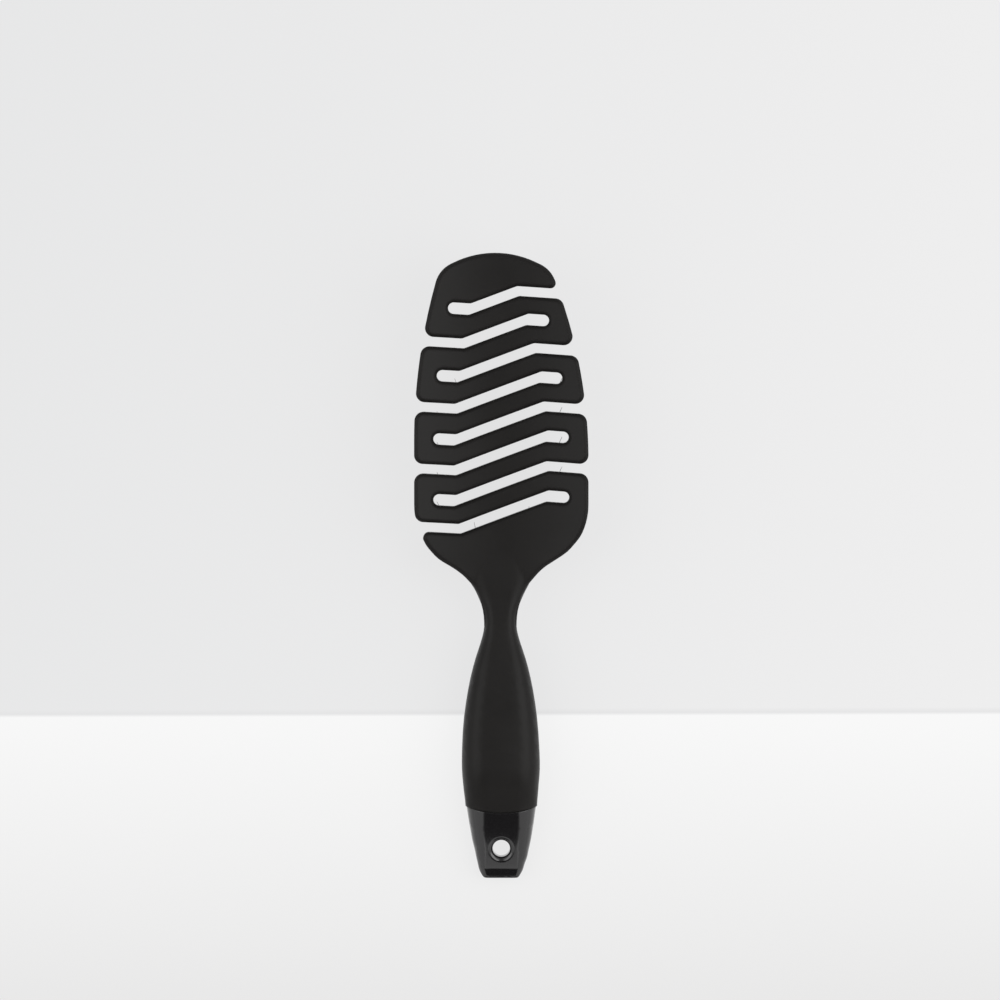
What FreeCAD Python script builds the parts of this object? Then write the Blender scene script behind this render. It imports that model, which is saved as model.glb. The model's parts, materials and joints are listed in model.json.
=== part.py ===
import FreeCAD
import Part
import math
import os
from FreeCAD import Placement, Rotation, Vector

# A vent brush with a serpentine head. It is drawn straight in a frame of its own: X across the brush, Y from
# the tail end towards the crown, +Z the back and -Z the bristle side, with Z = 0 through the middle of the
# neck. A last turn lays it down on its pins and the underside of its grip, as it rests on a table.

os.makedirs("parts", exist_ok=True)
doc = FreeCAD.newDocument("vent_brush")

# Driving dimensions in millimetres and degrees, each measured by itself
DIMENSIONS = [
    ("handle_length", 97.0),
    ("head_length", 143.0),
    ("neck_half_width", 6.15),
    ("neck_half_depth", 5.5),
    ("head_half_width", 33.3),
    ("right_side_radius", 192.0),
    ("left_side_radius", 226.0),
    ("right_side_rise", 98.5),
    ("left_side_rise", 101.9),
    ("crown_radius", 36.0),
    ("crown_slope", 25.0),
    ("crown_shift", -2.4),
    ("crown_half_width", 21.3),
    ("crown_corner_radius", 11.0),
    ("shoulder_rise", 32.6),
    ("shoulder_radius", 26.0),
    ("flare_rise", 15.4),
    ("flare_radius", 28.0),
    ("tongue_overlap", 6.0),
    ("plate_thickness", 5.4),
    ("rim_bevel", 1.1),
    ("arch_half_span", 93.0),
    ("arch_height", 90.0),
    ("slot_count", 8),
    ("lowest_slot_rise", 43.4),
    ("slot_pitch", 11.4),
    ("slot_pitch_growth", 0.057),
    ("slot_slope", 20.5),
    ("slot_end_slope", -3.75),
    ("slot_width", 3.8),
    ("slot_end_width", 4.4),
    ("slot_mouth_width", 3.7),
    ("slot_bend_inset", 15.6),
    ("slot_bend_radius", 2.4),
    ("loop_wall", 7.3),
    ("mouth_radius", 3.4),
    ("tip_radius", 2.0),
    ("belly_height", 49.0),
    ("belly_half_width", 14.65),
    ("belly_half_depth", 9.8),
    ("lower_grip_height", 35.0),
    ("lower_grip_half_width", 14.2),
    ("lower_grip_half_depth", 9.2),
    ("upper_grip_drop", 25.0),
    ("upper_grip_half_width", 12.2),
    ("upper_grip_half_depth", 8.7),
    ("collar_drop", 13.5),
    ("collar_half_width", 9.65),
    ("collar_half_depth", 7.3),
    ("waist_drop", 5.8),
    ("waist_half_width", 7.3),
    ("waist_half_depth", 6.1),
    ("throat_rise", 8.0),
    ("throat_half_width", 7.3),
    ("throat_half_depth", 5.0),
    ("spine_rise", 21.0),
    ("spine_half_width", 11.5),
    ("spine_half_depth", 3.7),
    ("spine_end_rise", 34.0),
    ("spine_end_half_width", 13.5),
    ("spine_end_half_depth", 2.2),
    ("grip_end_half_width", 12.6),
    ("grip_end_half_depth", 7.9),
    ("seam_height", 25.5),
    ("seam_radius", 36.0),
    ("seam_step", 0.35),
    ("seam_lap", 2.0),
    ("tail_half_width", 7.95),
    ("tail_half_depth", 3.5),
    ("tail_corner_height", 5.0),
    ("tail_corner_inset", 1.75),
    ("tail_edge_inset", 0.9),
    ("flat_half_width", 5.8),
    ("stave_count", 22),
    ("hole_height", 11.7),
    ("hole_diameter", 6.6),
    ("hole_rim_radius", 1.9),
    ("spigot_half_width", 8.6),
    ("spigot_half_depth", 4.8),
    ("spigot_length", 14.0),
    ("spigot_corner_radius", 3.0),
    ("spigot_end_bevel", 1.0),
    ("socket_gap", 0.1),
    ("socket_end_gap", 0.8),
    ("tuft_pitch", 6.0),
    ("tuft_edge_margin", 5.6),
    ("tuft_hole_depth", 3.2),
    ("tuft_root_radius", 1.5),
    ("tuft_tip_radius", 2.1),
    ("tuft_length", 14.5),
    ("pin_radius", 0.55),
    ("pin_length", 18.0),
    ("bead_radius", 1.0),
    ("bead_length", 1.6),
    ("tuft_sides", 6),
    ("pin_sides", 5),
]

sheet = doc.addObject("Spreadsheet::Sheet", "sizes")
for row, (alias, value) in enumerate(DIMENSIONS, start=1):
    sheet.set(f"A{row}", alias)
    sheet.set(f"B{row}", str(value))
    sheet.setAlias(f"B{row}", alias)
doc.recompute()


def size(alias):
    return float(getattr(sheet, alias))


# Outlines

def rounded_face(corners):
    """A flat face through corners given as (x, y, radius), each corner rounded by an arc."""
    points = [Vector(x, y, 0) for x, y, radius in corners]
    count = len(points)
    arcs = []
    for index, (x, y, radius) in enumerate(corners):
        to_last = points[index - 1] - points[index]
        to_next = points[(index + 1) % count] - points[index]
        turn = math.pi - to_last.getAngle(to_next)
        trim = radius * math.tan(turn / 2)
        start = points[index] + to_last.normalize() * trim
        end = points[index] + to_next.normalize() * trim
        inward = (to_last + to_next).normalize()
        middle = points[index] + inward * (radius / math.cos(turn / 2) - radius)
        arcs.append((start, middle, end))
    edges = []
    for index, (start, middle, end) in enumerate(arcs):
        edges.append(Part.Arc(start, middle, end).toShape())
        following = arcs[(index + 1) % count][0]
        edges.append(Part.makeLine(end, following))
    return Part.Face(Part.Wire(edges))


def crossing(point_a, angle_a, point_b, angle_b):
    """Where two lines in the XY plane meet, each given by a point and its angle in degrees."""
    along_a = Vector(math.cos(math.radians(angle_a)), math.sin(math.radians(angle_a)), 0)
    along_b = Vector(math.cos(math.radians(angle_b)), math.sin(math.radians(angle_b)), 0)
    across = along_a.x * along_b.y - along_a.y * along_b.x
    gap = point_b - point_a
    return point_a + along_a * ((gap.x * along_b.y - gap.y * along_b.x) / across)


def head_outline():
    """The head without its slots: a skewed crown, long side arcs, round shoulders and the flare of the neck."""
    half = size("head_half_width")
    base = size("handle_length")
    shoulder = base + size("shoulder_rise")
    flare = base + size("flare_rise")
    slope = math.radians(size("crown_slope"))
    peak = base + size("head_length") + size("crown_radius") * (1 / math.cos(slope) - 1)
    crown_corner = peak - size("crown_half_width") * math.tan(slope)
    crown_x = size("crown_shift")
    neck = size("neck_half_width")
    tongue = base - size("tongue_overlap")
    return rounded_face([
        (neck, tongue, size("tip_radius")),
        (neck, flare, size("flare_radius")),
        (half, shoulder, size("shoulder_radius")),
        (half, base + size("right_side_rise"), size("right_side_radius")),
        (crown_x + size("crown_half_width"), crown_corner, size("crown_corner_radius")),
        (crown_x, peak, size("crown_radius")),
        (crown_x - size("crown_half_width"), crown_corner, size("crown_corner_radius")),
        (-half, base + size("left_side_rise"), size("left_side_radius")),
        (-half, shoulder, size("shoulder_radius")),
        (-neck, flare, size("flare_radius")),
        (-neck, tongue, size("tip_radius")),
    ])


outline = head_outline()


def edge_of_head(side, height):
    """Distance from the centreline to the outline at a height, on the right (+1) or the left (-1)."""
    reach = size("head_half_width") * 2
    ray = Part.makeLine(Vector(0, height, 0), Vector(side * reach, height, 0)).common(outline)
    box = ray.BoundBox
    return box.XMax if side > 0 else -box.XMin


# Lanes run across the head: a slot on every whole number, a rib half way between two slots

def lane_height(lane):
    """Height at which a lane crosses the centreline."""
    lowest = size("handle_length") + size("lowest_slot_rise")
    return lowest + size("slot_pitch") * lane + size("slot_pitch_growth") * lane ** 2


def lane_bend(lane, side):
    """The point where a lane's sloped middle turns into its flatter end, at a set distance from the edge."""
    slope = math.tan(math.radians(size("slot_slope")))
    point = Vector(0, lane_height(lane), 0)
    for _ in range(3):
        x = side * (edge_of_head(side, point.y) - size("slot_bend_inset"))
        point = Vector(x, lane_height(lane) + slope * x, 0)
    return point


def slot_corner(point, angle_in, width_in, angle_out, width_out, side):
    """The bend of one slot wall, where the walls of two stretches of their own widths meet."""
    normal_in = Vector(-math.sin(math.radians(angle_in)), math.cos(math.radians(angle_in)), 0)
    normal_out = Vector(-math.sin(math.radians(angle_out)), math.cos(math.radians(angle_out)), 0)
    wall_in = point + normal_in * (side * width_in / 2)
    wall_out = point + normal_out * (side * width_out / 2)
    return crossing(wall_in, angle_in, wall_out, angle_out)


def open_side(lane):
    """Even slots open on the left, odd slots on the right, so the head stays one winding band."""
    return -1 if lane % 2 == 0 else 1


def slot_face(lane):
    """A slot with a round closed end, a sloped middle and a mouth that runs out past the outline."""
    opened = open_side(lane)
    closed = -opened
    middle = size("slot_slope")
    ends = size("slot_end_slope")
    near = lane_bend(lane, closed)
    far = lane_bend(lane, opened)
    along = Vector(math.cos(math.radians(ends)), math.sin(math.radians(ends)), 0)
    tip = near + along * (closed * (edge_of_head(closed, near.y) - size("loop_wall") - abs(near.x)))
    mouth = far + along * (opened * size("slot_bend_inset") * 2)
    cap = size("slot_end_width") * 0.4999
    bend = size("slot_bend_radius")
    walls = {}
    for wall in (1, -1):
        walls[wall] = [
            slot_corner(tip, 90 + ends, 0, ends, size("slot_end_width"), wall),
            slot_corner(near, ends, size("slot_end_width"), middle, size("slot_width"), wall),
            slot_corner(far, middle, size("slot_width"), ends, size("slot_mouth_width"), wall),
            slot_corner(mouth, ends, size("slot_mouth_width"), 90 + ends, 0, wall),
        ]
    radii = (cap, bend, bend, cap * 0.5)
    up = [(point.x, point.y, radius) for point, radius in zip(walls[1], radii)]
    down = [(point.x, point.y, radius) for point, radius in zip(walls[-1], radii)]
    return rounded_face(up + down[::-1])


# Helpers for the document's objects

def shape_object(name, shape):
    made = doc.addObject("Part::Feature", name)
    made.Shape = shape
    return made


def edge_feature(kind, name, base, amount, numbers):
    """Rounds (Part::Fillet) or bevels (Part::Chamfer) the numbered edges of a solid."""
    made = doc.addObject(kind, name)
    made.Base = base
    made.Edges = [(number, amount, amount) for number in numbers]
    doc.recompute()
    return made


def edges_where(base, wanted):
    doc.recompute()
    return [number for number, edge in enumerate(base.Shape.Edges, start=1) if wanted(edge)]


def combined(kind, name, parts):
    made = doc.addObject(kind, name)
    made.Shapes = parts
    return made


def less(name, base, tool):
    made = doc.addObject("Part::Cut", name)
    made.Base = base
    made.Tool = tool
    return made


def extruded(name, base, direction, length):
    """A solid drawn along a direction, with its length given as an expression on the sheet."""
    made = doc.addObject("Part::Extrusion", name)
    made.Base = base
    made.Dir = direction
    made.setExpression("LengthFwd", length)
    made.Solid = True
    return made


def is_upright(edge):
    box = edge.BoundBox
    return box.XLength < 0.01 and box.YLength < 0.01


# The head: the outline less its slots, as thick as a plate that is arched across

slot_lanes = range(int(size("slot_count")))
plan = outline
for lane in slot_lanes:
    plan = plan.cut(slot_face(lane))
head_plan = shape_object("head_plan", plan)
head_prism = extruded("head_prism", head_plan, Vector(0, 0, 1), "sizes.head_half_width")
head_prism.setExpression("LengthRev", "sizes.head_half_width")


def mouth_points(lane):
    """Where the two walls of a slot leave the head, the upper one first."""
    opened = open_side(lane)
    far = lane_bend(lane, opened)
    slope = math.tan(math.radians(size("slot_end_slope")))
    edge = opened * edge_of_head(opened, far.y)
    y = far.y + slope * (edge - far.x)
    half = size("slot_mouth_width") / 2
    return Vector(edge, y + half, 0), Vector(edge, y - half, 0)


def uprights_near(base, points):
    """The upright edges of a solid that stand within half a slot's width of a point of its plan."""
    reach = size("slot_mouth_width") / 2

    def wanted(edge):
        centre = edge.BoundBox.Center
        return is_upright(edge) and any(math.hypot(centre.x - p.x, centre.y - p.y) < reach for p in points)

    return edges_where(base, wanted)


tips = [mouth_points(0)[1], mouth_points(slot_lanes[-1])[0]]
corners = [point for lane in slot_lanes for point in mouth_points(lane) if point not in tips]
head_corners = edge_feature("Part::Fillet", "head_corners", head_prism, size("mouth_radius"),
                            uprights_near(head_prism, corners))
head_tips = edge_feature("Part::Fillet", "head_tips", head_corners, size("tip_radius"),
                         uprights_near(head_corners, tips))

thickness = size("plate_thickness")
arch_axis = size("arch_height") + thickness / 2


def arch_edge(offset, foot):
    """One face of the arched plate as an arc of an ellipse, offset outwards from the back."""
    ellipse = Part.Ellipse(Vector(0, 0, 0), size("arch_half_span") + offset, size("arch_height") + offset)
    reach = math.asin(size("head_half_width") * 1.2 / size("arch_half_span"))
    edge = Part.Edge(ellipse, -math.pi / 2 - reach, -math.pi / 2 + reach)
    edge.Placement = Placement(Vector(0, foot, arch_axis), Rotation(Vector(1, 0, 0), 90))
    return edge


def arch_profile(foot):
    """The plate's section across the head, between its hollow back and its round bristle side."""
    back = arch_edge(0, foot)
    front = arch_edge(thickness, foot)
    left = Part.makeLine(back.Vertexes[0].Point, front.Vertexes[0].Point)
    right = Part.makeLine(front.Vertexes[1].Point, back.Vertexes[1].Point)
    return Part.Face(Part.Wire([back, right, front, left]))


arch_foot = size("handle_length") - size("tongue_overlap") * 2
plate = extruded("arched_plate", shape_object("arch_profile", arch_profile(arch_foot)), Vector(0, 1, 0),
                 "sizes.head_length + sizes.tongue_overlap * 4")
head_blank = combined("Part::MultiCommon", "head_blank", [head_tips, plate])
head = edge_feature("Part::Chamfer", "head", head_blank, size("rim_bevel"),
                    edges_where(head_blank, lambda edge: not is_upright(edge)))


# The handle: a skin of narrow staves that swells in the hand, narrows to the neck and runs out as a spine

def skin_section(name, height, half_width, half_depth, flat):
    """A lying oval across the brush with a flat of a given half width on its back and on its front."""
    per_side = int(size("stave_count") / 2)
    corners = []
    for side in (1, -1):
        for step in range(per_side + 1):
            angle = math.pi * (step / per_side - 0.5)
            x = flat + (half_width - flat) * math.cos(angle)
            corners.append(Vector(side * x, height, side * half_depth * math.sin(angle)))
    made = doc.addObject("Part::Polygon", name)
    made.Nodes = corners
    made.Close = True
    return made


def skin(name, sections):
    made = doc.addObject("Part::Loft", name)
    made.Sections = sections
    made.Solid = True
    made.Ruled = False
    return made


flat_share = size("flat_half_width") / size("grip_end_half_width")
neck_height = size("handle_length")
seam = size("seam_height")
handle_heights = {
    "grip_end": seam - size("seam_lap"),
    "lower_grip": size("lower_grip_height"),
    "belly": size("belly_height"),
    "upper_grip": neck_height - size("upper_grip_drop"),
    "collar": neck_height - size("collar_drop"),
    "waist": neck_height - size("waist_drop"),
    "neck": neck_height,
    "throat": neck_height + size("throat_rise"),
    "spine": neck_height + size("spine_rise"),
    "spine_end": neck_height + size("spine_end_rise"),
}
handle_sections = []
for name, height in handle_heights.items():
    half_width = size(name + "_half_width")
    half_depth = size(name + "_half_depth")
    handle_sections.append(skin_section(name, height, half_width, half_depth, half_width * flat_share))
handle_skin = skin("handle_skin", handle_sections)

# The seam: the handle ends in a shallow curve, and the cap fills the space below it

seam_block = doc.addObject("Part::Box", "seam_block")
seam_block.setExpression("Length", "sizes.belly_half_width * 4")
seam_block.setExpression("Width", "sizes.seam_height * 2")
seam_block.setExpression("Height", "sizes.belly_half_depth * 4")
seam_block.Placement.Base = Vector(-size("belly_half_width") * 2, -seam * 0.8, -size("belly_half_depth") * 2)
seam_round = doc.addObject("Part::Cylinder", "seam_round")
seam_round.setExpression("Radius", "sizes.seam_radius")
seam_round.setExpression("Height", "sizes.belly_half_depth * 6")
seam_round.Placement.Base = Vector(0, seam + size("seam_radius"), -size("belly_half_depth") * 3)
cap_space = less("cap_space", seam_block, seam_round)


def plug(name, gap, length):
    """A round-cornered bar for the spigot, or with a gap all round for its socket."""
    bar = doc.addObject("Part::Box", name + "_bar")
    bar.setExpression("Length", f"(sizes.spigot_half_width + {gap}) * 2")
    bar.setExpression("Width", length)
    bar.setExpression("Height", f"(sizes.spigot_half_depth + {gap}) * 2")
    bar.setExpression("Placement.Base.x", f"-sizes.spigot_half_width - {gap}")
    bar.setExpression("Placement.Base.y", "sizes.seam_height - sizes.seam_lap")
    bar.setExpression("Placement.Base.z", f"-sizes.spigot_half_depth - {gap}")
    long_edges = edges_where(bar, lambda edge: edge.BoundBox.XLength < 0.01 and edge.BoundBox.ZLength < 0.01)
    return edge_feature("Part::Fillet", name, bar, size("spigot_corner_radius"), long_edges)


socket = plug("socket", "sizes.socket_gap", "sizes.seam_lap + sizes.spigot_length + sizes.socket_end_gap")
handle_end = less("handle_end", handle_skin, cap_space)
handle_and_head = combined("Part::MultiFuse", "handle_and_head", [handle_end, head])
frame_socket = less("frame_socket", handle_and_head, socket)

# The end cap: a tapered oval with a rounded tail, a rimmed hanging hole and a spigot for the socket

cap_reach = seam + size("seam_lap") * 3
corner_height = size("tail_corner_height")


def cap_section(height, corner):
    """One oval of the cap: a straight taper to the seam, drawn in by a share of the tail's rounding."""
    share = height / seam
    width_at_seam = size("grip_end_half_width") - size("seam_step")
    depth_at_seam = size("grip_end_half_depth") - size("seam_step")
    full_width = size("tail_half_width") + (width_at_seam - size("tail_half_width")) * share
    full_depth = size("tail_half_depth") + (depth_at_seam - size("tail_half_depth")) * share
    half_width = full_width - corner * size("tail_corner_inset")
    half_depth = full_depth - corner * size("tail_edge_inset")
    flat = size("flat_half_width") * half_width / full_width
    return skin_section(f"cap_section_{len(cap_sections)}", height, half_width, half_depth, flat)


cap_sections = []
for angle in (0, 20, 42, 66):
    turned = math.radians(angle)
    cap_sections.append(cap_section(corner_height * (1 - math.cos(turned)), 1 - math.sin(turned)))
for share in (0, 0.12, 0.3, 0.6, 1):
    cap_sections.append(cap_section(corner_height + share * (cap_reach - corner_height), 0))
cap_skin = skin("cap_skin", cap_sections)
cap_body = combined("Part::MultiCommon", "cap_body", [cap_skin, cap_space])

spigot_blank = plug("spigot_blank", "0", "sizes.seam_lap + sizes.spigot_length")
spigot_end = seam + size("spigot_length")
spigot = edge_feature("Part::Chamfer", "spigot", spigot_blank, size("spigot_end_bevel"),
                      edges_where(spigot_blank, lambda edge: edge.BoundBox.YMin > spigot_end - 0.01))
cap_with_spigot = combined("Part::MultiFuse", "cap_with_spigot", [cap_body, spigot])

bore = doc.addObject("Part::Cylinder", "hanging_bore")
bore.setExpression("Radius", "sizes.hole_diameter / 2")
bore.setExpression("Height", "sizes.belly_half_depth * 4")
bore.Placement.Base = Vector(0, size("hole_height"), -size("belly_half_depth") * 2)
cap_bored = less("cap_bored", cap_with_spigot, bore)


def is_bore_rim(edge):
    centre = edge.BoundBox.Center
    across = edge.BoundBox.XLength
    return abs(centre.y - size("hole_height")) < 1 and abs(across - size("hole_diameter")) < 0.01


end_cap = edge_feature("Part::Fillet", "end_cap", cap_bored, size("hole_rim_radius"),
                       edges_where(cap_bored, is_bore_rim))


# Bristle rows: one on the crown, one on each rib and one on the throat, square to the arched plate

def front_seat(x, height):
    """A frame on the bristle side of the plate, with its origin on the surface and its Z pointing out of it."""
    span = size("arch_half_span") + thickness
    rise = size("arch_height") + thickness
    drop = rise * math.sqrt(1 - (x / span) ** 2)
    outward = Vector(x / span ** 2, 0, -drop / rise ** 2)
    return Placement(Vector(x, height, arch_axis - drop), Rotation(Vector(0, 0, 1), outward))


def row_points(lane):
    """Places along a rib's middle line, a tuft pitch apart, that keep clear of the outline."""
    left = lane_bend(lane, -1)
    right = lane_bend(lane, 1)
    slope = math.tan(math.radians(size("slot_slope")))
    end_slope = math.tan(math.radians(size("slot_end_slope")))
    count = int(size("head_half_width") / size("tuft_pitch")) + 1
    points = []
    for step in range(-count, count):
        x = (step + 0.5) * size("tuft_pitch")
        if x < left.x:
            y = left.y + (x - left.x) * end_slope
        elif x > right.x:
            y = right.y + (x - right.x) * end_slope
        else:
            y = lane_height(lane) + x * slope
        side = 1 if x > 0 else -1
        gap = outline.OuterWire.distToShape(Part.Vertex(Vector(x, y, 0)))[0]
        if abs(x) < edge_of_head(side, y) and gap > size("tuft_edge_margin"):
            points.append((x, y))
    return points


def stem(sides, levels):
    """A straight stem with flat sides through (height, radius) levels, closed at both ends."""
    turns = [2 * math.pi * k / sides for k in range(sides)]
    rings = [[Vector(radius * math.cos(t), radius * math.sin(t), height) for t in turns]
             for height, radius in levels]
    faces = [rings[0], rings[-1]]
    for lower, upper in zip(rings, rings[1:]):
        for k in range(sides):
            following = (k + 1) % sides
            faces.append([lower[k], lower[following], upper[following], upper[k]])
    shell = Part.makeShell([Part.Face(Part.makePolygon(points + points[:1])) for points in faces])
    return Part.makeSolid(shell)


hole_depth = size("tuft_hole_depth")
tuft_body = stem(int(size("tuft_sides")), [
    (-hole_depth, size("tuft_root_radius")),
    (size("tuft_length"), size("tuft_tip_radius")),
])
bead_start = size("pin_length") - size("bead_length")
pin = stem(int(size("pin_sides")), [
    (-hole_depth, size("pin_radius")),
    (bead_start, size("pin_radius")),
    (bead_start + size("bead_length") / 2, size("bead_radius")),
    (size("pin_length"), size("pin_radius")),
])
tuft = tuft_body.cut(pin)

row_lanes = {"throat": -0.5}
for lane in slot_lanes[:-1]:
    row_lanes[f"rib_{lane + 1}"] = lane + 0.5
row_lanes["crown"] = slot_lanes[-1] + 0.5

parts = {"end_cap": end_cap}
holes = []
pin_tips = []
for row_name, lane in row_lanes.items():
    seats = [front_seat(x, y) for x, y in row_points(lane)]
    holes += [tuft_body.transformed(seat.toMatrix()) for seat in seats]
    tufts = [tuft.transformed(seat.toMatrix()) for seat in seats]
    pins = [pin.transformed(seat.toMatrix()) for seat in seats]
    pin_tips += [seat.multVec(Vector(0, 0, size("pin_length"))) for seat in seats]
    parts["tufts_" + row_name] = shape_object("tufts_" + row_name, Part.makeCompound(tufts))
    parts["pins_" + row_name] = shape_object("pins_" + row_name, Part.makeCompound(pins))

tuft_holes = shape_object("tuft_holes", Part.makeCompound(holes))
parts["brush_frame"] = less("brush_frame", frame_socket, tuft_holes)
doc.recompute()

# The rest pose: the brush lies on the tips of its lowest pins and on the underside of the grip, and the
# origin is on the table, below the middle of it

lowest_tip = min(pin_tips, key=lambda tip: (round(tip.z, 2), tip.y))
grip_outline = handle_skin.Shape.slice(Vector(1, 0, 0), 0)[0].discretize(Number=400)
grip_points = [point for point in grip_outline if point.y < neck_height]
tilt = min(math.atan((point.z - lowest_tip.z) / (lowest_tip.y - point.y)) for point in grip_points)
lay_down = Rotation(Vector(1, 0, 0), math.degrees(tilt))
pin_shapes = [made.Shape for label, made in parts.items() if label.startswith("pins_")]
table = min(lay_down.multVec(vertex.Point).z for shape in pin_shapes for vertex in shape.Vertexes)
tail = lay_down.multVec(Vector(0, 0, 0))
crown = lay_down.multVec(Vector(0, size("handle_length") + size("head_length"), 0))
rest = Placement(Vector(0, -(tail.y + crown.y) / 2, -table), lay_down)
for label, made in parts.items():
    made.Label = label
    made.Placement = rest
doc.recompute()

# Checks before anything is written, then one file for each part

for made in doc.Objects:
    if "Invalid" in made.State or "Error" in made.State:
        raise RuntimeError(f"{made.Name} did not build")
for label, made in parts.items():
    if made.Shape.isNull() or not made.Shape.isValid() or not made.Shape.Solids:
        raise RuntimeError(f"{label} is not a sound solid")
for label, made in parts.items():
    made.Shape.exportStep(f"parts/{label}.step")
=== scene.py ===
import bmesh
import bpy
import json
import math
from mathutils import Matrix, Vector


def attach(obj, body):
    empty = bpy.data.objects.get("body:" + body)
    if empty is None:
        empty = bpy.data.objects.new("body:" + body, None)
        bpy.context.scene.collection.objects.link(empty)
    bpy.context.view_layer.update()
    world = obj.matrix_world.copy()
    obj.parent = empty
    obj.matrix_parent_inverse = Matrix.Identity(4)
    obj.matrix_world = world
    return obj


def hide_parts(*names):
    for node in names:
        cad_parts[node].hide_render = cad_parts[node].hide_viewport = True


# A vent brush that lies on a pale studio floor, seen square to its back. All lengths are in metres.

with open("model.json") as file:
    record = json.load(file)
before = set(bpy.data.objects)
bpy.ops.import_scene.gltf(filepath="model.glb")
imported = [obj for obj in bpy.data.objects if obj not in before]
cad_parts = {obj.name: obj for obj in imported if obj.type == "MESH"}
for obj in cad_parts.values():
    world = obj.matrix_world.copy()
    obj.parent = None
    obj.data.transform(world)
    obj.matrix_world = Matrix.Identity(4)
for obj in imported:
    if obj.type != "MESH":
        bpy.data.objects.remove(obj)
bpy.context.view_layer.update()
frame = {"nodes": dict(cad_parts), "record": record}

MM = 0.001

# The brush's own directions, from the hanging hole's axis: out of the back, and up towards the crown
hole = frame["record"]["mounts"][0]
hole_place = Vector(hole["pos_m"])
back = Vector(hole["axis"]).normalized()
crownwards = Vector((0, back.z, -back.y))
HOLE_FROM_TAIL = 11.7 * MM
tail_end = hole_place - crownwards * HOLE_FROM_TAIL

# Camera
CAMERA_DISTANCE = 2.3
CAMERA_PITCH = math.radians(3.0)
CLIP_START = 0.05
CLIP_END = 20
VIEW_WIDTH = 0.3831
AIM_FROM_TAIL = 145.37 * MM
AIM_ASIDE = -0.5 * MM
SENSOR = 36.0
IMAGE_SIZE = 1000
PIXEL = VIEW_WIDTH / IMAGE_SIZE

# Light: lamps as name, place, size and watts, and a sky that is darker behind the camera and low beyond
# the tail, and brighter to the left and right
LAMPS = [
    ("right_box", (0.70, 0.0, 0.85), (0.75, 1.3), 7.2),
    ("left_box", (-0.70, 0.0, 0.85), (0.65, 1.2), 4.4),
    ("tail_box", (0.0, -0.95, 0.75), (0.9, 0.5), 1.0),
]
WORLD_LEVEL = 0.44
WORLD_DARK = 0.05
DARK_CONE_TILT = math.radians(10)
DARK_CONE_INNER = math.radians(16)
DARK_CONE_OUTER = math.radians(27)
LOW_DARK_RISE = math.radians(16)
LOW_DARK_INNER = math.radians(16)
LOW_DARK_OUTER = math.radians(30)
LOW_DARK_SHARE = 0.12
SIDE_BRIGHTENING = 2.2
SIDE_START = 0.18
SIDE_FULL = 0.42

# The studio floor: it is toned as the photograph's wall above the horizon row and as its floor below it
HORIZON_ROW = 714.5
HORIZON_TILT = 0.003
HORIZON_BLUR = 0.6 * MM
# Painted shade: a darker band of tone just above the horizon row stands in for the shade where the wall meets
# the floor
PAINTED_SHADE_HEIGHT = 2.4 * MM
# Painted light: the wall tone lightens from left to right and the floor tone from near to far, standing in
# for the fall of the light
WALL_SHADED_LEFT = (0.782, 0.784, 0.788, 1)
WALL_LIT_RIGHT = (0.830, 0.828, 0.830, 1)
PAINTED_WALL_FOOT_SHADE = (0.745, 0.745, 0.75, 1)
FLOOR_SHADED_NEAR = (0.790, 0.788, 0.788, 1)
FLOOR_LIT_FAR = (0.912, 0.912, 0.912, 1)
FLOOR_GLOW = 0.9
FLOOR_REACH = 2.5

# Small corrections of the outline against the photograph: the height from the tail end, then how far the
# left and the right edge move outwards there, in millimetres
EDGE_SHIFTS = [
    (0, -0.1, -0.4), (4, 0.15, 0.0), (9, 0.4, 0.75), (16, 0.8, 1.0), (27, 0.9, 0.9), (38, 0.3, 0.0),
    (61, 0.8, 0.2), (84, 0.6, 0.0), (97, 0.4, -0.3), (105, 0.2, -0.5), (111, -0.4, -1.1),
    (115, 0.3, -0.8), (122, 1.3, -1.5), (127, 0.7, -0.6), (133, 0.0, 0.0),
]

# The heights from the tail end at which the solids' meshes get a ring of points
FRAME_LEVELS = [step * 3 * MM for step in range(7, 34)] + [100 * MM + step * 1.5 * MM for step in range(23)]
CAP_BEVEL_HEIGHT = 3.9 * MM
CAP_BEVEL_BAND = 0.2 * MM
CAP_LEVELS = [step * 1.5 * MM for step in range(1, 18)]
CAP_LEVELS += [CAP_BEVEL_HEIGHT - CAP_BEVEL_BAND, CAP_BEVEL_HEIGHT + CAP_BEVEL_BAND]
WELD_DISTANCE = 0.002 * MM
CUT_TOLERANCE = 0.01 * MM
LEVEL_TOLERANCE = 0.05 * MM
SHARP_ANGLE = math.radians(32)

# The cap: how flat strips may be to become one face, and how far its back is let down towards the tail
CAP_FLATNESS = math.radians(1.5)
BORE_RIM_REACH = 5.4 * MM
CAP_HEIGHT = 26.0 * MM
CAP_TAIL_DROP = 1.3 * MM
CAP_BEVEL_DROP = 1.05 * MM
CAP_DROP_DEPTH = 3 * MM

# The arched plate's back, and the spine that runs out over it
ARCH_HALF_SPAN = 93.0 * MM
ARCH_HEIGHT = 90.0 * MM
HALF_THICKNESS = 2.7 * MM
SPINE_START = 100.0 * MM
SPINE_FULL = 108.0 * MM
SPINE_SOFTNESS = 0.6 * MM

# Pins
PIN_SIDES = 12
PIN_RADIUS = 0.55 * MM
PIN_END_SHARE = 0.045
BALL_RADIUS = 1.0 * MM
BALL_RINGS = 7
BALL_RING_PARTS = 6.4

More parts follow.
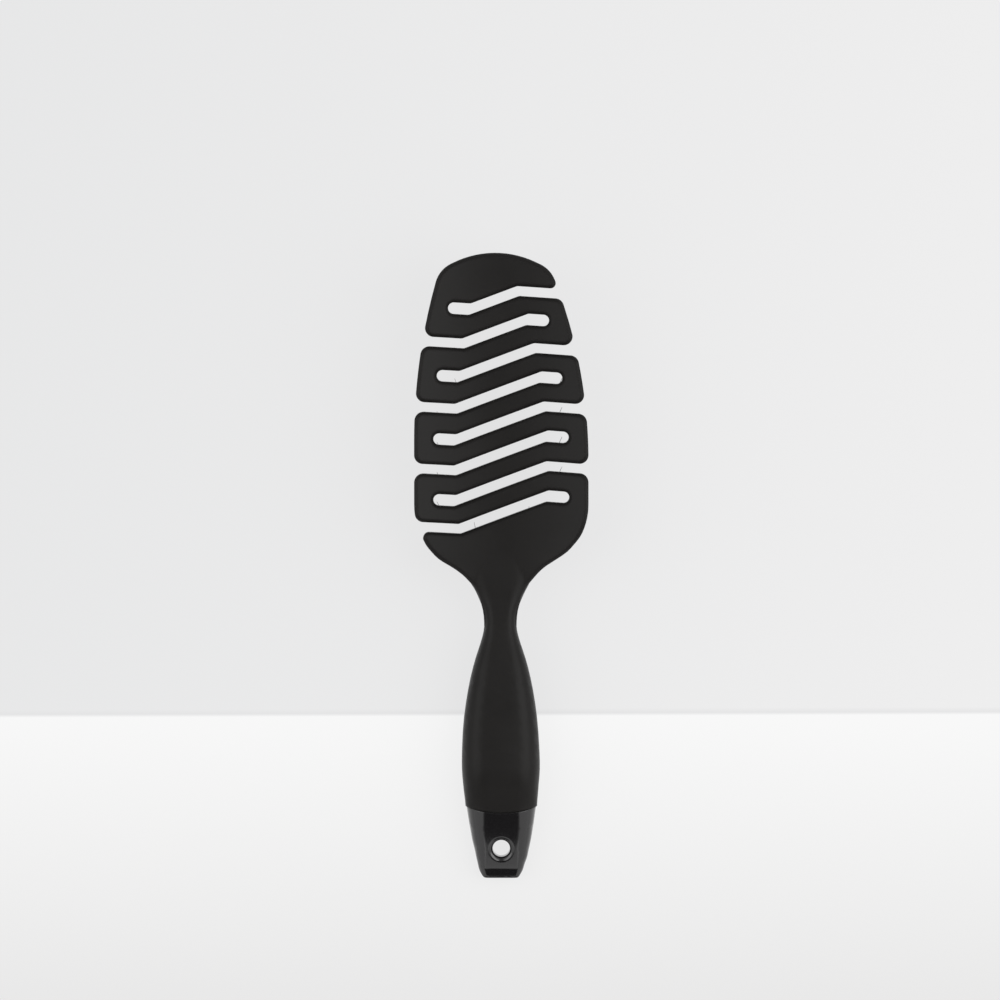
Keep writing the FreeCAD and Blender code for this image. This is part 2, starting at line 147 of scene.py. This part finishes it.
# Bristles
TUFT_END_SHARE = 0.5
TUFT_ROOT_RADIUS = 1.35 * MM
TUFT_TIP_RADIUS = 1.95 * MM
TUFT_SEED_STEP = 131.0
BRISTLE_SEED_STEP = 7.0
ROW_SEED_STEP = 17.0
BRISTLES_PER_TUFT = 20
BRISTLE_SIDES = 4
BRISTLE_RADIUS = 0.13 * MM
BRISTLE_TIP_SHARE = 0.6
FIRST_BRISTLE = 0.9
SHORTEST_BRISTLE = 0.90
LENGTH_SPREAD = 0.10
BEND_PLACE = 0.55
BEND_SHARE = 0.3
SWAY = 0.8 * MM
STRAY_SHARE = 0.3
STRAY_REACH = 4.2 * MM
STRAY_LEAST = 0.8
STRAY_SPREAD = 0.4
GOLDEN_TURN = math.pi * (3 - math.sqrt(5))


# Shader nodes

def feed(tree, socket, value):
    """Links a socket to another's output, or gives it a plain value."""
    if isinstance(value, bpy.types.NodeSocket):
        tree.links.new(value, socket)
    else:
        socket.default_value = value


def add_math(tree, operation, *values):
    node = tree.nodes.new("ShaderNodeMath")
    node.operation = operation
    for socket, value in zip(node.inputs, values):
        feed(tree, socket, value)
    return node.outputs[0]


def add_range(tree, value, from_low, from_high, low, high, smooth=False):
    """Maps a value from one range to another."""
    node = tree.nodes.new("ShaderNodeMapRange")
    if smooth:
        node.interpolation_type = "SMOOTHSTEP"
    tree.links.new(value, node.inputs["Value"])
    node.inputs["From Min"].default_value = from_low
    node.inputs["From Max"].default_value = from_high
    node.inputs["To Min"].default_value = low
    node.inputs["To Max"].default_value = high
    return node.outputs["Result"]


def add_dot(tree, vector, axis):
    node = tree.nodes.new("ShaderNodeVectorMath")
    node.operation = "DOT_PRODUCT"
    node.inputs[1].default_value = axis
    tree.links.new(vector, node.inputs[0])
    return node.outputs["Value"]


class Shader:
    """A material with its main shader, and short ways to add the nodes that vary it."""

    def __init__(self, name):
        self.material = bpy.data.materials.new(name)
        self.material.use_nodes = True
        self.tree = self.material.node_tree
        self.main = self.tree.nodes["Principled BSDF"]
        self.place = self.tree.nodes.new("ShaderNodeTexCoord").outputs["Object"]

    def add(self, kind, **inputs):
        node = self.tree.nodes.new(kind)
        for name, value in inputs.items():
            feed(self.tree, node.inputs[name.replace("_", " ")], value)
        return node

    def noise(self, scale, detail=3.0, roughness=0.5):
        return self.add("ShaderNodeTexNoise", Vector=self.place, Scale=scale, Detail=detail,
                        Roughness=roughness).outputs["Fac"]

    def spread(self, value, low=0.0, high=1.0, from_low=0.3, from_high=0.7):
        return add_range(self.tree, value, from_low, from_high, low, high)

    def blend(self, share, first, second):
        node = self.tree.nodes.new("ShaderNodeMix")
        node.data_type = "RGBA"
        share_socket, first_socket, second_socket = node.inputs[0], node.inputs[6], node.inputs[7]
        self.tree.links.new(share, share_socket)
        feed(self.tree, first_socket, first)
        feed(self.tree, second_socket, second)
        return node.outputs[2]

    def set(self, name, value):
        feed(self.tree, self.main.inputs[name], value)

    def bump(self, height, depth, strength=1.0, under=None):
        node = self.add("ShaderNodeBump", Height=height, Distance=depth, Strength=strength)
        if under is not None:
            self.tree.links.new(under, node.inputs["Normal"])
        self.tree.links.new(node.outputs["Normal"], self.main.inputs["Normal"])

    def soft_edges(self, radius):
        """Rounds the look of edges, for the rims that the solid has as flat bevels."""
        node = self.tree.nodes.new("ShaderNodeBevel")
        node.samples = 6
        node.inputs["Radius"].default_value = radius
        return node.outputs["Normal"]


# Materials

def soft_touch_black():
    """Matt rubbery lacquer: fine grain, faint clouds from handling, and a soft sheen at grazing angles."""
    look = Shader("soft_touch_black")
    clouds = look.noise(scale=38.0, detail=4.0, roughness=0.55)
    grain = look.noise(scale=2600.0, detail=2.0)
    dark, light = (0.0060, 0.0054, 0.0050, 1), (0.0085, 0.0077, 0.0072, 1)
    look.set("Base Color", look.blend(look.spread(clouds), dark, light))
    look.set("Roughness", look.spread(clouds, low=0.40, high=0.46))
    look.set("Specular IOR Level", 0.13)
    look.set("Sheen Weight", 0.16)
    look.set("Sheen Roughness", 0.3)
    look.bump(grain, depth=0.02 * MM, strength=0.5, under=look.soft_edges(1.4 * MM))
    return look.material


def gloss_black():
    """Polished black plastic: a clear shine with the faint ripple of a moulding and a little dust."""
    look = Shader("gloss_black")
    ripple = look.noise(scale=55.0, detail=2.0)
    dust = look.noise(scale=900.0, detail=6.0, roughness=0.7)
    look.set("Base Color", (0.006, 0.0055, 0.006, 1))
    look.set("Roughness", look.spread(dust, low=0.07, high=0.16))
    look.set("Specular IOR Level", 0.5)
    look.set("Coat Weight", 0.35)
    look.set("Coat Roughness", 0.05)
    look.bump(ripple, depth=0.25 * MM, strength=0.06, under=look.soft_edges(0.5 * MM))
    return look.material


def nylon_black():
    """Plain black nylon, with the faint flow of its moulding."""
    look = Shader("nylon_black")
    flow = look.noise(scale=700.0, detail=2.0)
    dark, light = (0.010, 0.010, 0.010, 1), (0.018, 0.017, 0.017, 1)
    look.set("Base Color", look.blend(look.spread(flow), dark, light))
    look.set("Roughness", look.spread(flow, low=0.28, high=0.38))
    look.bump(flow, depth=0.02 * MM, strength=0.3)
    return look.material


def bristle_dark():
    """Dark bristle fibre, each a little lighter or browner than the next."""
    look = Shader("bristle_dark")
    tone = look.noise(scale=1400.0, detail=1.0)
    dark, light = (0.012, 0.010, 0.009, 1), (0.040, 0.032, 0.026, 1)
    look.set("Base Color", look.blend(look.spread(tone), dark, light))
    look.set("Roughness", look.spread(tone, low=0.36, high=0.5))
    look.bump(look.noise(scale=5200.0, detail=1.0), depth=0.01 * MM, strength=0.3)
    return look.material


# Smooth shading on the frame and the cap

def smoothing_nodes(limit):
    """Joins the faces of a mesh and shades it smooth, apart from edges sharper than a limit."""
    group = bpy.data.node_groups.new("smooth_skin", "GeometryNodeTree")
    group.interface.new_socket("Geometry", in_out="INPUT", socket_type="NodeSocketGeometry")
    group.interface.new_socket("Geometry", in_out="OUTPUT", socket_type="NodeSocketGeometry")
    entry = group.nodes.new("NodeGroupInput")
    leave = group.nodes.new("NodeGroupOutput")
    plain = group.nodes.new("GeometryNodeRemoveAttribute")
    plain.inputs["Name"].default_value = "custom_normal"
    weld = group.nodes.new("GeometryNodeMergeByDistance")
    weld.inputs["Distance"].default_value = WELD_DISTANCE
    faces = group.nodes.new("GeometryNodeSetShadeSmooth")
    edges = group.nodes.new("GeometryNodeSetShadeSmooth")
    edges.domain = "EDGE"
    edges.inputs["Shade Smooth"].default_value = False
    angle = group.nodes.new("GeometryNodeInputMeshEdgeAngle")
    sharp = group.nodes.new("FunctionNodeCompare")
    sharp.data_type = "FLOAT"
    sharp.operation = "GREATER_THAN"
    sharp.inputs[1].default_value = limit
    link = group.links.new
    link(entry.outputs[0], plain.inputs["Geometry"])
    link(plain.outputs[0], weld.inputs["Geometry"])
    link(weld.outputs[0], faces.inputs["Geometry"])
    link(faces.outputs[0], edges.inputs["Geometry"])
    link(angle.outputs["Unsigned Angle"], sharp.inputs[0])
    link(sharp.outputs[0], edges.inputs["Selection"])
    link(edges.outputs[0], leave.inputs[0])
    return group


# Meshes of the CAD nodes, and pieces that take their place

def node_mesh(node_name):
    """A CAD node's mesh with its faces joined."""
    mesh = bmesh.new()
    mesh.from_mesh(frame["nodes"][node_name].data)
    bmesh.ops.remove_doubles(mesh, verts=mesh.verts, dist=WELD_DISTANCE)
    return mesh


def finish_piece(mesh, name, material, node_name):
    bmesh.ops.recalc_face_normals(mesh, faces=mesh.faces)
    data = bpy.data.meshes.new(name)
    mesh.to_mesh(data)
    mesh.free()
    data.shade_smooth()
    data.materials.append(material)
    piece = bpy.data.objects.new(name, data)
    bpy.context.scene.collection.objects.link(piece)
    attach(piece, "root")
    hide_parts(node_name)
    return piece


# The frame and the cap: the solids' own meshes, with the edges moved by the small corrections above

def between(low, value, high):
    return min(max(value, low), high)


def edge_shift(height, side):
    """How far an edge moves outwards at a height from the tail end, eased between the listed heights."""
    column = 2 if side > 0 else 1
    for lower, upper in zip(EDGE_SHIFTS, EDGE_SHIFTS[1:]):
        share = (height / MM - lower[0]) / (upper[0] - lower[0])
        if 0 <= share <= 1:
            eased = share * share * (3 - 2 * share)
            return (lower[column] + (upper[column] - lower[column]) * eased) * MM
    return EDGE_SHIFTS[0][column] * MM if height < 0 else 0.0


def height_of(point):
    return (point - tail_end).dot(crownwards)


def depth_of(point):
    """How far a point lies out of the back, from the tail end."""
    return (point - tail_end).dot(back)


def side_of(point):
    return 1 if point.x > 0 else -1


def widths_at(mesh, levels):
    """The reach of the left (-1) and the right (+1) edge at each level."""
    found = {level: {-1: 0.0, 1: 0.0} for level in levels}
    for vert in mesh.verts:
        nearest = min(levels, key=lambda level: abs(level - height_of(vert.co)))
        if abs(nearest - height_of(vert.co)) < LEVEL_TOLERANCE:
            side = side_of(vert.co)
            found[nearest][side] = max(found[nearest][side], abs(vert.co.x))
    return found


def width_between(widths, height, side):
    """The reach of an edge at any height, from its reach at the levels."""
    levels = sorted(widths)
    for lower, upper in zip(levels, levels[1:]):
        if lower <= height <= upper:
            share = (height - lower) / (upper - lower)
            return widths[lower][side] * (1 - share) + widths[upper][side] * share
    return widths[levels[0]][side] if height < levels[0] else widths[levels[-1]][side]


def sliced_copy(node_name, levels, flatness=0.0):
    """The mesh of a solid with a ring of points at each level, its flat strips first joined into one face."""
    mesh = node_mesh(node_name)
    if flatness:
        bmesh.ops.dissolve_limit(mesh, angle_limit=flatness, verts=mesh.verts, edges=mesh.edges)
    for level in levels:
        everything = mesh.verts[:] + mesh.edges[:] + mesh.faces[:]
        bmesh.ops.bisect_plane(mesh, geom=everything, dist=CUT_TOLERANCE, plane_no=crownwards,
                               plane_co=tail_end + crownwards * level)
    return mesh


def soften_spine(point):
    """Lets the spine of the handle run out smoothly over the plate's back."""
    start = (height_of(point) - SPINE_START) / (SPINE_FULL - SPINE_START)
    arch = math.sqrt(max(0.0, 1 - (point.x / ARCH_HALF_SPAN) ** 2))
    plate_back = HALF_THICKNESS + ARCH_HEIGHT * (1 - arch)
    rise = depth_of(point) - plate_back
    if start <= 0 or rise <= 0:
        return Vector()
    lowered = rise * rise / (rise + SPINE_SOFTNESS)
    return back * ((lowered - rise) * min(start, 1.0))


def fitted_frame(material, nodes):
    mesh = sliced_copy("brush_frame", FRAME_LEVELS)
    widths = widths_at(mesh, FRAME_LEVELS)
    for vert in mesh.verts:
        height = height_of(vert.co)
        side = side_of(vert.co)
        move = soften_spine(vert.co)
        if height < FRAME_LEVELS[-1]:
            move.x = vert.co.x * edge_shift(height, side) / width_between(widths, height, side)
        vert.co += move
    piece = finish_piece(mesh, "soft_touch_frame", material, "brush_frame")
    piece.modifiers.new("smooth_skin", "NODES").node_group = nodes


def fitted_cap(material, nodes):
    mesh = sliced_copy("end_cap", CAP_LEVELS, CAP_FLATNESS)
    widths = widths_at(mesh, CAP_LEVELS)
    for vert in mesh.verts:
        height = height_of(vert.co)
        side = side_of(vert.co)
        width = width_between(widths, height, side)
        share = between(0.0, (abs(vert.co.x) - BORE_RIM_REACH) / (width - BORE_RIM_REACH), 1.0)
        down = max(0.0, 1 - height / CAP_HEIGHT) ** 2 * CAP_TAIL_DROP
        down += max(0.0, 1 - height / CAP_BEVEL_HEIGHT) * CAP_BEVEL_DROP
        depth = depth_of(vert.co)
        vert.co.x += side * share * edge_shift(height, side)
        vert.co -= back * (down * between(0.0, depth / CAP_DROP_DEPTH, 1.0))
    piece = finish_piece(mesh, "fitted_cap", material, "end_cap")
    piece.modifiers.new("smooth_skin", "NODES").node_group = nodes
    even = piece.modifiers.new("even_shade", "WEIGHTED_NORMAL")
    even.keep_sharp = True


# Pins and bristles, where the solids have theirs

def stems(node_name, end_share):
    """Root and tip of each separate stem of a CAD node, as the middles of the points in the end shares of its
    height. The brush lies bristles down, so a tip is lowest."""
    mesh = node_mesh(node_name)
    left = set(mesh.verts)
    found = []
    while left:
        island = {left.pop()}
        rim = list(island)
        while rim:
            for edge in rim.pop().link_edges:
                for vert in edge.verts:
                    if vert in left:
                        left.discard(vert)
                        island.add(vert)
                        rim.append(vert)
        heights = sorted(vert.co.z for vert in island)
        reach = heights[-1] - heights[0]
        low = [vert.co for vert in island if vert.co.z < heights[0] + reach * end_share]
        high = [vert.co for vert in island if vert.co.z > heights[-1] - reach * end_share]
        root = sum(high, Vector()) / len(high)
        tip = sum(low, Vector()) / len(low)
        found.append((root, tip))
    mesh.free()
    found.sort(key=lambda ends: (round(ends[0].x, 5), ends[0].y))
    return found


def axes_across(direction):
    side = direction.orthogonal().normalized()
    return side, direction.cross(side).normalized()


def add_tube(mesh, path, sides):
    """A closed tube through (point, radius) rings around one straight or gently bent path."""
    turns = [2 * math.pi * k / sides for k in range(sides)]
    rings = []
    for index, (point, radius) in enumerate(path):
        before = path[max(index - 1, 0)][0]
        after = path[min(index + 1, len(path) - 1)][0]
        side, other = axes_across((after - before).normalized())
        rings.append([
            mesh.verts.new(point + (side * math.cos(turn) + other * math.sin(turn)) * radius)
            for turn in turns
        ])
    for lower, upper in zip(rings, rings[1:]):
        for k in range(sides):
            following = (k + 1) % sides
            mesh.faces.new((lower[k], lower[following], upper[following], upper[k]))
    mesh.faces.new(rings[0][::-1])
    mesh.faces.new(rings[-1])


def ball_pins(row, material):
    """Round nylon pins with ball tips, on the axes of the row's flat-sided ones."""
    mesh = bmesh.new()
    neck = math.asin(PIN_RADIUS / BALL_RADIUS)
    for root, tip in stems("pins_" + row, PIN_END_SHARE):
        along = (tip - root).normalized()
        centre = tip - along * BALL_RADIUS
        path = [(root, PIN_RADIUS)]
        for step in range(BALL_RINGS):
            turn = neck + (math.pi - neck) * step / BALL_RING_PARTS
            path.append((centre - along * BALL_RADIUS * math.cos(turn), BALL_RADIUS * math.sin(turn)))
        add_tube(mesh, path, PIN_SIDES)
    finish_piece(mesh, "ball_pins_" + row, material, "pins_" + row)


def scatter(seed):
    """A repeatable number between 0 and 1 for a seed."""
    value = math.sin(seed * 12.9898 + 4.1414) * 43758.5453
    return value - math.floor(value)


def bristle_tufts(row, material):
    """A bundle of fine bristles round each pin: they fan out a little, and a few stray."""
    mesh = bmesh.new()
    for tuft, (root, tip) in enumerate(stems("tufts_" + row, TUFT_END_SHARE)):
        along = (tip - root).normalized()
        side, other = axes_across(along)
        for number in range(BRISTLES_PER_TUFT):
            seed = tuft * TUFT_SEED_STEP + number * BRISTLE_SEED_STEP + len(row) * ROW_SEED_STEP
            share = math.sqrt((number + FIRST_BRISTLE) / (BRISTLES_PER_TUFT + FIRST_BRISTLE))
            turn = number * GOLDEN_TURN + tuft
            outwards = side * math.cos(turn) + other * math.sin(turn)
            inner = PIN_RADIUS + BRISTLE_RADIUS
            start = inner + (TUFT_ROOT_RADIUS - inner) * share
            end = inner + (TUFT_TIP_RADIUS - inner) * share
            length = (tip - root).length * (SHORTEST_BRISTLE + LENGTH_SPREAD * scatter(seed))
            aslant = outwards.cross(along) * (scatter(seed + 1) - 0.5) * SWAY
            if number == 0 and scatter(seed + 2) < STRAY_SHARE:
                reach = STRAY_REACH * (STRAY_LEAST + STRAY_SPREAD * scatter(seed + 3))
                aslant = (crownwards - along * crownwards.dot(along)) * reach
            middle = root + along * length * BEND_PLACE + outwards * (start + end) / 2 + aslant * BEND_SHARE
            path = [
                (root + outwards * start, BRISTLE_RADIUS),
                (middle, BRISTLE_RADIUS),
                (root + along * length + outwards * end + aslant, BRISTLE_RADIUS * BRISTLE_TIP_SHARE),
            ]
            add_tube(mesh, path, BRISTLE_SIDES)
    finish_piece(mesh, "bristles_" + row, material, "tufts_" + row)


# Studio

aim = tail_end + crownwards * AIM_FROM_TAIL + Vector((AIM_ASIDE, 0, 0))
view_back = back * math.cos(CAMERA_PITCH) + crownwards * math.sin(CAMERA_PITCH)
view_up = crownwards * math.cos(CAMERA_PITCH) - back * math.sin(CAMERA_PITCH)
camera_place = aim + view_back * CAMERA_DISTANCE


def floor_under(column, row):
    """Where the camera's ray through a pixel of the photograph meets the floor."""
    middle = IMAGE_SIZE / 2
    aside = Vector((1, 0, 0)) * ((column - middle) * PIXEL)
    up = view_up * ((middle - row) * PIXEL)
    ray = aside + up - view_back * CAMERA_DISTANCE
    return camera_place + ray * (-camera_place.z / ray.z)


def floor_material():
    """Matt paper that holds its tone where the camera sees it, so that shadows on it stay faint. Its tone
    carries painted light and shade: lighter to the right on the wall and away from the camera on the floor,
    and a painted shade band at the foot of the wall.
    """
    look = Shader("studio_paper")
    tree = look.tree
    border = floor_under(IMAGE_SIZE / 2, HORIZON_ROW).y
    near = floor_under(0, IMAGE_SIZE).y
    aside = floor_under(0, HORIZON_ROW).x
    parts = look.add("ShaderNodeSeparateXYZ", Vector=look.place)
    level = add_dot(tree, look.place, (-HORIZON_TILT, 1, 0))
    across = look.spread(parts.outputs["X"], from_low=aside, from_high=-aside)
    along = look.spread(parts.outputs["Y"], from_low=near, from_high=border)
    # Painted light: lighter to the right on the wall, and away from the camera on the floor
    wall = look.blend(across, WALL_SHADED_LEFT, WALL_LIT_RIGHT)
    floor = look.blend(along, FLOOR_SHADED_NEAR, FLOOR_LIT_FAR)
    wall_share = look.spread(level, from_low=border - HORIZON_BLUR, from_high=border + HORIZON_BLUR)
    # Painted shade: the wall tone darkens to a band at its foot, the shade where wall meets floor
    painted_shade_share = look.spread(level, low=1.0, high=0.0, from_low=border, from_high=border + PAINTED_SHADE_HEIGHT)
    colour = look.blend(wall_share, floor, look.blend(painted_shade_share, wall, PAINTED_WALL_FOOT_SHADE))
    look.set("Base Color", colour)
    look.set("Roughness", 0.9)
    look.set("Specular IOR Level", 0.1)
    look.bump(look.noise(scale=600.0), depth=0.05 * MM, strength=0.15)
    glow = look.add("ShaderNodeEmission", Color=colour, Strength=1.0)
    path = tree.nodes.new("ShaderNodeLightPath")
    seen = path.outputs["Is Camera Ray"]
    for kind in ("Is Glossy Ray", "Is Transmission Ray"):
        seen = add_math(tree, "MAXIMUM", seen, path.outputs[kind])
    mixed = tree.nodes.new("ShaderNodeMixShader")
    tree.links.new(add_math(tree, "MULTIPLY", seen, FLOOR_GLOW), mixed.inputs[0])
    tree.links.new(look.main.outputs[0], mixed.inputs[1])
    tree.links.new(glow.outputs[0], mixed.inputs[2])
    tree.links.new(mixed.outputs[0], tree.nodes["Material Output"].inputs["Surface"])
    return look.material


def make_floor():
    mesh = bmesh.new()
    corners = [(-1, -1), (1, -1), (1, 1), (-1, 1)]
    mesh.faces.new([mesh.verts.new((x * FLOOR_REACH, y * FLOOR_REACH, 0)) for x, y in corners])
    data = bpy.data.meshes.new("floor")
    mesh.to_mesh(data)
    mesh.free()
    data.materials.append(floor_material())
    floor = bpy.data.objects.new("floor", data)
    bpy.context.scene.collection.objects.link(floor)


def soft_box(name, place, size, watts):
    """A rectangular lamp that looks at the brush."""
    light = bpy.data.lights.new(name, "AREA")
    light.shape = "RECTANGLE"
    light.size, light.size_y = size
    light.energy = watts
    lamp = bpy.data.objects.new(name, light)
    towards = tail_end + crownwards * AIM_FROM_TAIL - Vector(place)
    lamp.matrix_world = Matrix.Translation(place) @ towards.to_track_quat("-Z", "Y").to_matrix().to_4x4()
    bpy.context.scene.collection.objects.link(lamp)


def make_world():
    """A sky with a dim patch behind the camera and one low beyond the tail, and bright to the sides."""
    world = bpy.data.worlds.new("studio")
    world.use_nodes = True
    tree = world.node_tree
    direction = tree.nodes.new("ShaderNodeTexCoord").outputs["Generated"]

    def dimmed_round(axis, inner, outer, plain, dark):
        """A level that falls from plain to dark within a cone of directions round an axis."""
        towards = add_dot(tree, direction, axis)
        return add_range(tree, towards, math.cos(outer), math.cos(inner), plain, dark, smooth=True)

    behind_camera = back * math.cos(DARK_CONE_TILT) - crownwards * math.sin(DARK_CONE_TILT)
    overhead = dimmed_round(behind_camera, DARK_CONE_INNER, DARK_CONE_OUTER, WORLD_LEVEL, WORLD_DARK)
    low = Vector((0, -math.cos(LOW_DARK_RISE), math.sin(LOW_DARK_RISE)))
    low_share = dimmed_round(low, LOW_DARK_INNER, LOW_DARK_OUTER, 1.0, LOW_DARK_SHARE)
    parts = tree.nodes.new("ShaderNodeSeparateXYZ")
    tree.links.new(direction, parts.inputs[0])
    aside = add_math(tree, "ABSOLUTE", parts.outputs["X"])
    sides = add_range(tree, aside, SIDE_START, SIDE_FULL, 1.0, SIDE_BRIGHTENING)
    strength = add_math(tree, "MULTIPLY", add_math(tree, "MULTIPLY", overhead, low_share), sides)
    tree.links.new(strength, tree.nodes["Background"].inputs["Strength"])
    tree.nodes["Background"].inputs["Color"].default_value = (1, 1, 1, 1)
    bpy.context.scene.world = world


def make_camera():
    data = bpy.data.cameras.new("camera")
    data.sensor_width = SENSOR
    data.lens = SENSOR * CAMERA_DISTANCE / VIEW_WIDTH
    data.clip_start = CLIP_START
    data.clip_end = CLIP_END
    camera = bpy.data.objects.new("camera", data)
    turned = Matrix((Vector((1, 0, 0)), view_up, view_back)).transposed().to_4x4()
    camera.matrix_world = Matrix.Translation(camera_place) @ turned
    bpy.context.scene.collection.objects.link(camera)
    bpy.context.scene.camera = camera


skin_nodes = smoothing_nodes(SHARP_ANGLE)
fitted_frame(soft_touch_black(), skin_nodes)
fitted_cap(gloss_black(), skin_nodes)
nylon = nylon_black()
fibre = bristle_dark()
for node_name in sorted(frame["nodes"]):
    kind, _, row = node_name.partition("_")
    if kind == "pins":
        ball_pins(row, nylon)
    if kind == "tufts":
        bristle_tufts(row, fibre)

make_floor()
for name, place, size, watts in LAMPS:
    soft_box(name, place, size, watts)
make_world()
make_camera()
bpy.context.scene.view_settings.view_transform = "Standard"
